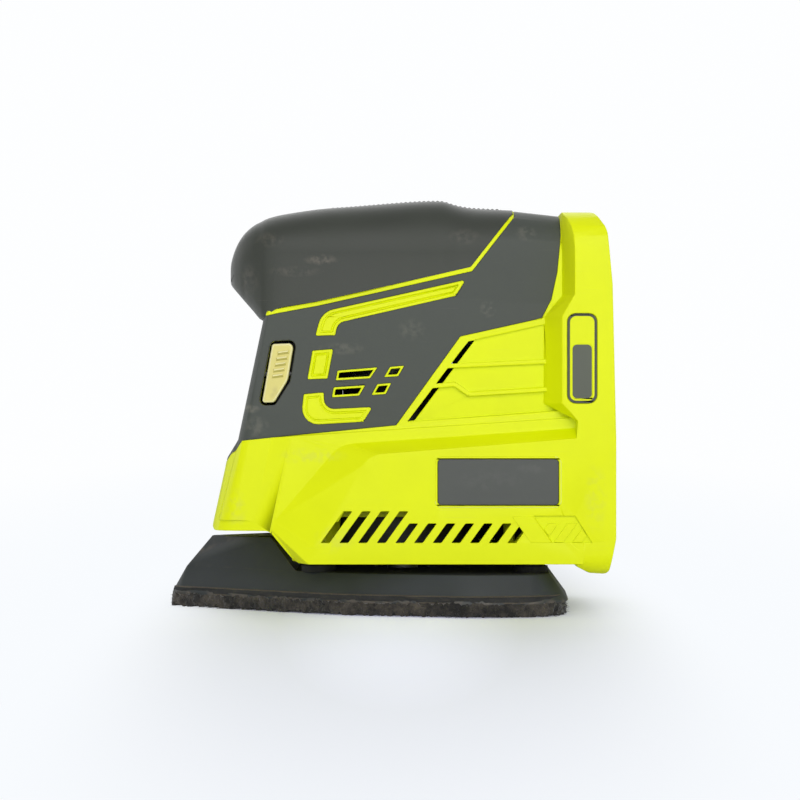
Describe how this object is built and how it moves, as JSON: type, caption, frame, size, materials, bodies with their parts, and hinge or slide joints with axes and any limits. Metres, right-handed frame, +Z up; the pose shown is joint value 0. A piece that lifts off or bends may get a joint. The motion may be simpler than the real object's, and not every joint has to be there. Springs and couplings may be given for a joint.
{
  "type": "detail mouse sander",
  "caption": "Cordless detail mouse sander: palm grip body with a flared rear battery collar, side switch, louvred motor housing and a pointed orbiting sanding pad.",
  "frame": {"origin": "where the drive axis meets the sanding face of the pad", "axes": "+Z up along the drive axis, -X towards the pointed front of the pad, +X towards the battery collar, -Y the side with the switch"},
  "size_m": [0.1533, 0.1002, 0.1433],
  "materials": {
    "housing": "satin moulded",
    "grip_rubber": "matte textured",
    "side_rubber": "matte",
    "black_plastic": "matte",
    "badge_plastic": "matte",
    "plated_steel": "plated",
    "ferrite": "matte",
    "brass": "plain",
    "bearing_steel": "ground",
    "cast_alloy": "cast",
    "screw_steel": "black oxide",
    "button_plastic": "satin",
    "pale_plastic": "matte",
    "winding": "enamelled",
    "copper": "turned",
    "fan_plastic": "matte",
    "pad_plastic": "satin",
    "post_rubber": "matte",
    "foam": "closed-cell foam",
    "hook_fabric": "worn hook fabric"
  },
  "bodies": {
    "housing": {"housing_left": "housing", "housing_right": "housing", "fan_shroud": "black_plastic", "grip_left": "grip_rubber", "grip_right": "grip_rubber", "crown_strip_pad": "grip_rubber", "side_cover_left": "side_rubber", "side_cover_right": "side_rubber", "nameplate": "black_plastic", "badge_plate": "badge_plastic", "battery_socket": "black_plastic", "terminal_block": "black_plastic", "terminal_blades": "plated_steel", "motor_can": "plated_steel", "motor_end_bell": "black_plastic", "motor_magnets": "ferrite", "brush_holders": "brass", "upper_bearing": "bearing_steel", "lower_bearing": "bearing_steel", "motor_bracket": "cast_alloy", "dust_port": "black_plastic", "housing_screws": "screw_steel", "switch_body": "black_plastic", "rocker_pin": "screw_steel"},
    "rotor": {"motor_shaft": "bearing_steel", "armature": "winding", "commutator": "copper", "fan": "fan_plastic", "eccentric_hub": "cast_alloy", "pad_screw": "screw_steel"},
    "pad": {"pad_plate": "pad_plastic", "pad_bearing": "bearing_steel", "flex_posts": "post_rubber", "post_screws": "screw_steel", "foam_cushion": "foam", "hook_sheet": "hook_fabric"},
    "rocker": {"switch_rocker": "button_plastic"},
    "plunger": {"switch_plunger": "pale_plastic"}
  },
  "joints": [
    {"name": "spindle_spin", "type": "hinge", "parent": "housing", "child": "rotor", "pos_m": [0, 0, 0.05], "axis": [0, 0, 1], "continuous": true},
    {"name": "pad_orbit", "type": "hinge", "parent": "rotor", "child": "pad", "pos_m": [0.0009, 0, 0.008], "axis": [0, 0, 1], "continuous": true},
    {"name": "switch_rock", "type": "hinge", "parent": "housing", "child": "rocker", "pos_m": [-0.042, -0.0304, 0.082], "axis": [-1, 0, 0], "range_deg": [0, 8]},
    {"name": "switch_push", "type": "slide", "parent": "housing", "child": "plunger", "axis": [0, 1, 0], "range_m": [0, 0.003]}
  ],
  "couplings": [
    {"joint": "pad_orbit", "follows": "spindle_spin", "ratio": -1},
    {"joint": "switch_push", "follows": "switch_rock", "m_per_rad": 0.0075}
  ]
}
